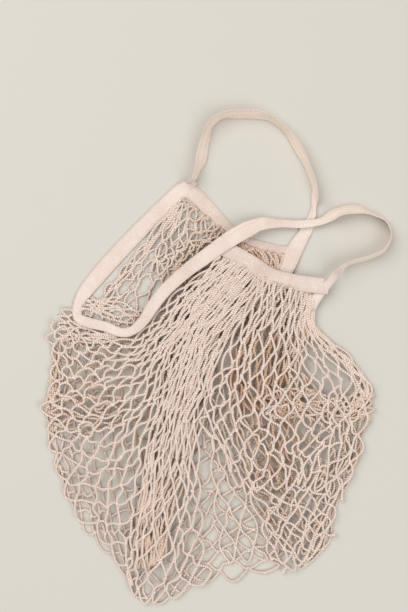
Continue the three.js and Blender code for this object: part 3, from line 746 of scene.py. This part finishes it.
def tape(node, band, start, end, materials, relief, crease, spacing, seed):
    """A band's tape as one closed mesh with its courses in relief, in the last of its materials where the
    net covers it, which for the right side band is a copy of the strap's knit with painted shade."""
    ts, lengths = band.stations(start, end, spacing)
    centres, tilt, width = band.at(ts)
    tangent = unit(band.at(ts + TANGENT_STEP)[0] - band.at(ts - TANGENT_STEP)[0])
    level_side = unit(np.stack([-tangent[:, 1], tangent[:, 0], np.zeros(len(tangent))], 1))
    up = np.cross(tangent, level_side)
    side = level_side * np.cos(tilt)[:, None] + up * np.sin(tilt)[:, None]
    face = np.cross(tangent, side)
    section = tape_section(crease)
    half_width = width / 2 * (1 + WAVER_SHARE * waver_of(lengths, np.random.default_rng(seed)))
    course = 0.5 - 0.5 * np.cos(2 * math.pi * lengths / RELIEF_PITCH)
    half_depth = BAND_THICKNESS / 2 * (1 - relief * course)
    verts = (
        centres[:, None]
        + side[:, None] * (section[:, 0] * half_width[:, None])[..., None]
        + face[:, None] * (section[:, 1] * half_depth[:, None])[..., None]
    )
    rows, columns = verts.shape[:2]
    girth = running_length(section * [BAND_WIDTH / 2, SIDE_DEPTH])
    girth = np.append(girth, girth[-1] + SEAM_GIRTH)
    r, c = np.meshgrid(np.arange(rows - 1), np.arange(columns), indexing="ij")
    c2 = (c + 1) % columns
    faces = np.stack([r * columns + c, r * columns + c2, (r + 1) * columns + c2, (r + 1) * columns + c], -1)
    u = np.stack([lengths[r], lengths[r], lengths[r + 1], lengths[r + 1]], -1)
    v = np.stack([girth[c], girth[c + 1], girth[c + 1], girth[c]], -1)
    faces = faces.reshape(-1, 4)[:, ::-1]
    uvs = (np.stack([u, v], -1) * MM).reshape(-1, 4, 2)[:, ::-1]
    half = len(section) // 2
    caps, cap_uvs = cap_faces(rows, columns, half, lengths, girth)
    verts = np.concatenate([verts, verts[[0, -1]]])
    # Painted shade: the stretch under the net takes the last, shaded material
    in_net_shade = centres[:, 1] < NET_SHADE_BELOW
    of_face = np.concatenate([np.repeat(in_net_shade[:-1], columns), np.repeat(in_net_shade[[0, -1]], half)])
    obj = mesh_object(
        node + "_tape",
        verts.reshape(-1, 3),
        np.vstack([faces, caps]),
        np.vstack([uvs, cap_uvs]),
        materials,
        of_face.astype(int) * (len(materials) - 1),
    )
    dress(obj, "knitted_band", node)


# The strap's runs in order round its loop: node, rows, knits and the crease's place
RUNS = [
    ("back_handle", BACK_HANDLE, [HANDLE_KNIT], -0.3),
    ("right_side_band", RIGHT_SIDE, [STRAP_KNIT, SHADED_STRAP_KNIT], None),
    ("front_handle", FRONT_HANDLE, [HANDLE_KNIT], -0.35),
    ("left_side_band", LEFT_SIDE, [STRAP_KNIT], None),
]
strap = Band([row for _, rows, _, _ in RUNS for row in rows], closed=True)
strap_rows = len(strap.sections)
first = 0
for number, (node, rows, knits, crease) in enumerate(RUNS):
    start, end = first / strap_rows, (first + len(rows)) / strap_rows
    tape(node, strap, start, end, knits, STRAP_RELIEF, crease, STRAP_SPACING, STRAP_SEED + number)
    first += len(rows)
for number, (node, rows) in enumerate([("front_top_band", FRONT_HEM), ("back_top_band", BACK_HEM)]):
    tape(node, Band(rows), 0.0, 1.0, [HEM_KNIT], HEM_RELIEF, None, HEM_SPACING, HEM_SEED + number)


# The net
def lattice(lines, columns, rows):
    """Knots in pixels: columns between the lines, and rows spaced so that the strings are about taut."""
    shares = np.tile(np.linspace(0, 1, rows + 1), (len(lines), 1))
    numbers = np.linspace(0, 1, len(lines))
    places = running_length(np.stack([resampled(line, [WIDEST_SHARE])[0] for line in lines]))
    places = EVEN_SHARE * numbers + (1 - EVEN_SHARE) * places / places[-1]
    across = np.interp(np.linspace(0, 1, columns), places, numbers)
    lengths = np.interp(across, numbers, [length_of(line) for line in lines])
    column_of = places * (columns - 1)
    low = np.floor(column_of).astype(int).clip(0, columns - 2)
    w = (column_of - low)[:, None]
    for _ in range(LATTICE_ROUNDS):
        control = np.stack([resampled(line, shares[k]) for k, line in enumerate(lines)])
        grid = np.stack([curve_points(control[:, j], across) for j in range(rows + 1)], 1)
        spread = column_gaps(grid)
        steps = np.sqrt(np.maximum(STRING_PX**2 - spread**2, (LEAST_ROW * STRING_PX) ** 2))
        steps = (steps[:, 1:] + steps[:, :-1]) / 2
        at = np.concatenate([np.zeros((columns, 1)), np.cumsum(steps, axis=1)], axis=1)
        spare = 1 - lengths[:, None] / at[:, -1:]
        x = at / at[:, -1:]
        taken = np.where(spare > 0, GATHERED + (1 - GATHERED) * x, 1.0)
        at = x * (1 - spare * taken) / (1 - spare)
        shares = at[low] * (1 - w) + at[low + 1] * w
    return grid


def column_gaps(grid):
    """The mean distance from each crossing of the lattice to its neighbours across."""
    gaps = np.linalg.norm(np.diff(grid, axis=0), axis=2)
    return np.vstack([gaps[:1], (gaps[1:] + gaps[:-1]) / 2, gaps[-1:]])


def relaxed(home, edges, held, rng, jitter):
    """The knots jittered, then moved until no string is much too long or too short. Held knots stay."""
    free = (1 - held)[:, None]
    home = home + rng.normal(0, 1, home.shape) * (jitter * (1 - held))[:, None]
    knots = home.copy()
    a, b = edges.T
    degree = np.bincount(edges.ravel(), minlength=len(home)).clip(1)[:, None]
    for _ in range(RELAX_STEPS):
        step = knots[b] - knots[a]
        length = np.linalg.norm(step, axis=1, keepdims=True).clip(TINY)
        too_short = np.minimum(0, length - SHORTEST * STRING_PX)
        excess = np.where(length > STRING_PX, length - STRING_PX, too_short)
        move = step / length * excess * 0.5
        total = np.zeros_like(knots)
        np.add.at(total, a, move)
        np.add.at(total, b, -move)
        knots += RELAX_RATE * total / degree * free
        knots += (home - knots) * (FIRMNESS * free)
    return knots


def drift(places, rng):
    """A smooth seeded shift in pixels, nearly the same for neighbouring knots."""
    total = np.zeros_like(places)
    for _ in range(DRIFT_WAVES):
        wave = rng.normal(0, 1, 2)
        span = rng.uniform(*DRIFT_SPAN_PX)
        phase = places @ (wave / np.linalg.norm(wave) / span) + rng.uniform(0, PHASES)
        total += rng.normal(0, 1, 2) * np.sin(phase)[:, None]
    return total / math.sqrt(DRIFT_WAVES)


def distance_to(places, polyline):
    """Distance in pixels from each place to a polyline."""
    best = np.full(len(places), np.inf)
    for a, b in zip(polyline[:-1], polyline[1:]):
        a, b = np.array(a, float), np.array(b, float)
        t = ((places - a) @ (b - a) / ((b - a) @ (b - a))).clip(0, 1)[:, None]
        best = np.minimum(best, np.linalg.norm(places - a - t * (b - a), axis=1))
    return best


def within(places, line, reach):
    return distance_to(places, line) < reach


def near_height(places):
    """Height in mm of the near side's top over the floor."""
    crown = eased(distance_to(places, OUTLINE_PX) / CROWN_REACH_PX)
    rise = np.zeros(len(places))
    for start, end, share, breadth in FOLDS_PX:
        away = distance_to(places, [start, end]) * PX / (FOLD_BREADTH * breadth)
        rise = np.maximum(rise, share * np.exp(-away * away))
    return EDGE_HEIGHT + crown * (CROWN_HEIGHT - EDGE_HEIGHT + rise * FOLD_HEIGHT)


def layer_height(places, share):
    """Height in mm of a layer at a share of the near side's height. One at no share lies on the floor."""
    return np.full(len(places), GROUND_HEIGHT) if share == 0 else share * near_height(places)


def tubes(paths, radius, sides, rng, closed=False):
    """Tubes round many paths of equal point count, as vertices, quads and UVs. Each tube's plies start
    at a place of their own."""
    count, steps = paths.shape[:2]
    if closed:
        tangent = unit(np.roll(paths, -1, axis=1) - np.roll(paths, 1, axis=1))
    else:
        tangent = unit(np.gradient(paths, axis=1))
    side = unit(np.cross(tangent * FLATTENED, NEARLY_UP))
    up = np.cross(side, tangent)
    angle = np.arange(sides) / sides * 2 * math.pi
    ring = side[:, :, None] * np.cos(angle)[:, None] + up[:, :, None] * np.sin(angle)[:, None]
    verts = paths[:, :, None] + ring * radius
    spans = steps if closed else steps - 1
    e, s, c = np.meshgrid(np.arange(count), np.arange(spans), np.arange(sides), indexing="ij")
    here, beyond = (e * steps + s) * sides, (e * steps + (s + 1) % steps) * sides
    c2 = (c + 1) % sides
    faces = np.stack([here + c, here + c2, beyond + c2, beyond + c], -1).reshape(-1, 4)
    gaps = np.linalg.norm(np.diff(paths, axis=1, append=paths[:, :1]), axis=2)
    run = np.concatenate([np.zeros((count, 1)), np.cumsum(gaps, axis=1)], axis=1)
    run = run * rng.uniform(*PLY_LENGTHS, (count, 1)) + rng.uniform(*PLY_STARTS, (count, 1))
    u = np.stack([run[e, s], run[e, s], run[e, s + 1], run[e, s + 1]], -1) * MM
    v = np.stack([c / sides, (c + 1) / sides, (c + 1) / sides, c / sides], -1)
    return verts.reshape(-1, 3), faces, np.stack([u, v], -1).reshape(-1, 4, 2)


def joined(sets):
    """Several sets of tubes as one."""
    verts, faces, uvs = zip(*sets)
    starts = np.cumsum([0] + [len(part) for part in verts])
    faces = [part + start for part, start in zip(faces, starts)]
    return np.vstack(verts), np.vstack(faces), np.vstack(uvs)


def knotted(grid):
    """A knot at every second crossing of the lattice, and the strings between them. Gives each knot's row,
    place, hold and room between its columns, and the strings as pairs of knots."""
    columns, rows = grid.shape[:2]
    index = {}
    for i in range(columns):
        for j in range(i % 2, rows, 2):
            index[i, j] = len(index)
    edges = [
        (n, index[i + side, j + 1])
        for (i, j), n in index.items()
        for side in (-1, 1)
        if (i + side, j + 1) in index
    ]
    column, row = np.array(list(index)).T
    outer = (column == 0) | (column == columns - 1)
    held = np.where(row == 0, 1.0, np.where(outer, EDGE_HOLD, 0.0))
    return row, grid[column, row], held, column_gaps(grid)[column, row], np.array(edges)


def strings(knots, lift, edges, open_share, height, curl, seed, rng):
    """Each string between its knots, bowed by its slack and twisted: in pixels, and in mm with heights."""
    a, b = edges.T
    open_share = (open_share[a] + open_share[b]) / 2
    chord = knots[b] - knots[a]
    length = np.linalg.norm(chord, axis=1)
    slack = np.maximum(0, STRING_PX - length)
    bow = np.minimum(np.sqrt(BOW_OF_SLACK * length * slack), MOST_BOW * STRING_PX)
    leaning = np.sin(knots[a][:, 0] / LEAN_ACROSS_PX + LEAN_START)
    leaning = leaning + np.cos(knots[a][:, 1] / LEAN_ALONG_PX + seed)
    sign = np.where(rng.normal(0, 1, len(edges)) + LEAN * leaning > 0, 1, -1)
    bow = bow * sign * rng.uniform(*BOW_SHARES, len(edges))
    bow = curl * (bow + rng.normal(0, BOW_SPREAD_PX, len(edges))) * open_share
    twist = curl * rng.normal(0, TWIST_SPREAD, len(edges)) * length * open_share
    t = np.linspace(0, 1, CORD_STEPS + 1)
    across = unit(np.stack([-chord[:, 1], chord[:, 0]], 1))
    shape = bow[:, None] * np.sin(math.pi * t) + 0.5 * twist[:, None] * np.sin(2 * math.pi * t)
    plan = knots[a][:, None] + chord[:, None] * t[:, None] + across[:, None] * shape[..., None]
    z = height(plan.reshape(-1, 2)).reshape(plan.shape[:2])
    ends = lift[a][:, None] * (1 - t) + lift[b][:, None] * t
    hump = rng.uniform(*HUMPS, len(edges))[:, None] * np.sin(math.pi * t)
    z = np.maximum(z + ends + hump, LOWEST_CORD)
    return plan, np.concatenate([millimetres(plan), z[..., None]], -1)


def edge_loops(knots, lift, tips, edges, height, rng):
    """Round loops in place of the two strings that meet at each tip, reaching out past it."""
    at_knots = np.column_stack([millimetres(knots), np.maximum(height(knots) + lift, LOWEST_CORD)])
    t = np.linspace(0, 1, LOOP_STEPS + 1)[:, None]
    loops = []
    for n in tips:
        one, two = edges[(edges == n).any(axis=1)].sum(axis=1) - n
        p, q, tip = at_knots[one], at_knots[two], at_knots[n]
        far = (p + q) / 2 + LOOP_REACH * (1 + LOOP_SPREAD * rng.normal()) * (tip - (p + q) / 2)
        c, d = p + LOOP_ROUND * (far - p), q + LOOP_ROUND * (far - q)
        loop = (1 - t) ** 3 * p + 3 * (1 - t) ** 2 * t * c + 3 * (1 - t) * t**2 * d + t**3 * q
        loop[:, 2] = np.maximum(loop[:, 2], LOWEST_CORD)
        loops.append(loop)
    return np.array(loops)


def knot_loops(knots, lift, height, rng):
    """One flattened overhand wrap of cord at each knot, turned at random, in mm."""
    t = np.linspace(0, 2 * math.pi, KNOT_STEPS, endpoint=False)
    wrap = [np.sin(t) + 2 * np.sin(2 * t), np.cos(t) - 2 * np.cos(2 * t), -np.sin(3 * t)]
    x, y, z = (np.stack(wrap, 1) * KNOT_SIZE).T
    centres = np.column_stack([millimetres(knots), np.maximum(height(knots) + lift, LOWEST_KNOT)])
    turn = rng.uniform(0, 2 * math.pi, len(knots))
    cos, sin = np.cos(turn)[:, None], np.sin(turn)[:, None]
    wraps = [x * cos - y * sin, x * sin + y * cos, np.broadcast_to(z, (len(knots), KNOT_STEPS))]
    return centres[:, None] + np.stack(wraps, -1)


def net_layer(name, lines, columns, rows, share, curl, jitter, tone, seed):
    """One layer of the net: strings, loops at its free edge and knots, each in its tone: pale, with painted
    shade where other layers lie over it."""
    rng = np.random.default_rng(SEED * 100 + seed)
    height = lambda places: layer_height(places, share)
    row, places, held, room, edges = knotted(lattice(lines, columns, rows))
    open_share = np.clip(room / OPEN_PX, LEAST_OPEN, 1.0)
    places = places + drift(places, rng) * (jitter * DRIFT * (1 - held) * open_share)[:, None]
    knots = relaxed(places, edges, held, rng, jitter * open_share)
    lift = rng.normal(0, LIFT, len(knots))
    plan, paths = strings(knots, lift, edges, open_share, height, curl, seed, rng)
    strings_at = np.bincount(edges.ravel(), minlength=len(knots))
    tips = np.flatnonzero((row > 0) & (strings_at == 2))
    loops = edge_loops(knots, lift, tips, edges, height, rng)
    straight = ~np.isin(edges, tips).any(axis=1)
    sets = [tubes(paths[straight], CORD_DIAMETER / 2, CORD_SIDES, rng)]
    tones = [np.repeat(tone(plan[straight][:, CORD_STEPS // 2]), CORD_STEPS * CORD_SIDES)]
    if len(tips):
        sets.append(tubes(loops, CORD_DIAMETER / 2, CORD_SIDES, rng))
        tones.append(np.repeat(tone(knots[tips]), LOOP_STEPS * CORD_SIDES))
    tied = np.setdiff1d(np.arange(len(knots)), tips)
    sets.append(tubes(knot_loops(knots[tied], lift[tied], height, rng), KNOT_RADIUS, KNOT_SIDES, rng, True))
    tones.append(np.repeat(tone(knots[tied]), KNOT_STEPS * KNOT_SIDES))
    dress(mesh_object(name, *joined(sets), CORD_PALE_AND_PAINTED_SHADES, np.concatenate(tones)), "net_cord", "net_body")


def back_tone(places):
    """Pale where nothing lies over it and low down, painted deep shade under the river and the near right,
    and painted half shade under other layers elsewhere.
    """
    shaded = within(places, *RIVER_SHADE) | within(places, *RIGHT_SHADE)
    bare = within(places, *BARE_BACK)
    return np.where(shaded & ~bare, DEEP_SHADE, np.where(bare | (places[:, 1] > BACK_BARE_FROM), PALE, HALF_SHADE))


def back_rim_tone(places):
    """Painted half shade in its upper part, towards the mouth, under the near side; pale below."""
    return np.where(places[:, 1] < RIM_BARE_FROM, HALF_SHADE, PALE)


def pale_tone(places):
    return np.full(len(places), PALE)


# Painted half shade throughout, for layers that lie under others
def half_shade_tone(places):
    return np.full(len(places), HALF_SHADE)


def mouth_tone(places):
    """Pale beside the far side's left edge, and painted half shade elsewhere, inside the mouth."""
    return np.where(within(places, *BARE_MOUTH), PALE, HALF_SHADE)


def river_tone(places):
    """Painted half shade in the gathers at the hem and at the far end, pale between them."""
    return np.where(abs(places[:, 1] - RIVER_MIDDLE) < RIVER_PALE_PX, PALE, HALF_SHADE)


def inner_tone(places):
    """Deepest in the middle of the mouth, where the near hem's shade lies."""
    return np.where(within(places, *INNER_SHADE), DEEP_SHADE, HALF_SHADE)


def under_tone(places):
    """Pale at the near hem, painted deep shade in the middle of the fold, and painted half shade elsewhere.
    """
    bare = places[:, 1] < UNDER_BARE_TO
    return np.where(within(places, *UNDER_SHADE), DEEP_SHADE, np.where(bare, PALE, HALF_SHADE))


def curl_tone(places):
    """Painted half shade and pale in turn, a little more of it in painted half shade."""
    waves = np.sin(places[:, 0] / CURL_ACROSS) + np.sin(places[:, 1] / CURL_ALONG)
    return np.where(waves > CURL_SHADE_FROM, HALF_SHADE, PALE)


# Name, lines, columns, rows, height as a share of the near side's, curl of the strings, unevenness of the
# knots in pixels, and tone: pale, with painted shade where other layers lie over it
LAYERS = [
    ("net_back", BACK_LINES, 28, 26, 0.0, 0.9, 1.1, back_tone),
    ("net_back_rim", BACK_RIM_LINES, 6, 20, 0.1, 0.9, 1.2, back_rim_tone),
    ("net_edge", EDGE_LINES, 4, 8, 0.2, 1.0, 1.4, pale_tone),
    ("net_mouth", MOUTH_LINES, 15, 6, 0.3, 1.3, 2.2, mouth_tone),
    ("net_inner", INNER_LINES, 20, 3, 0.3, 1.2, 1.6, inner_tone),
    ("net_river", RIVER_LINES, 18, 17, 0.6, 0.8, 1.2, river_tone),
    ("net_under", UNDER_LINES, 21, 13, 0.72, 0.9, 1.6, under_tone),
    ("net_pouch", POUCH_LINES, 11, 6, 0.5, 0.9, 1.8, half_shade_tone),
    ("net_bay", BAY_LINES, 6, 9, 0.4, 1.0, 1.7, pale_tone),
    ("net_tail", TAIL_LINES, 8, 6, 0.8, 1.0, 1.6, pale_tone),
    ("net_hollow", HOLLOW_LINES, 7, 4, 0.25, 1.2, 1.8, pale_tone),
    ("net_corner", CORNER_LINES, 11, 5, 0.5, 1.0, 1.6, pale_tone),
    ("net_lobe", LOBE_LINES, 8, 5, 0.6, 1.2, 2.0, half_shade_tone),
    ("net_near_left", LEFT_LINES, 38, 20, 0.75, 0.8, 1.3, pale_tone),
    ("net_near_low", LOW_LINES, 9, 6, 0.85, 0.7, 1.2, pale_tone),
    ("net_curls_low", CURL_LINES, 9, 10, 0.65, 1.9, 2.8, half_shade_tone),
    ("net_curls", CURL_LINES, 6, 9, 0.8, 2.0, 2.6, curl_tone),
    ("net_rim", RIM_LINES, 6, 7, 0.85, 0.8, 1.4, pale_tone),
    ("net_near_right", RIGHT_LINES, 26, 15, 0.95, 0.7, 1.4, pale_tone),
]
for number, layer in enumerate(LAYERS):
    net_layer(*layer, number + 1)
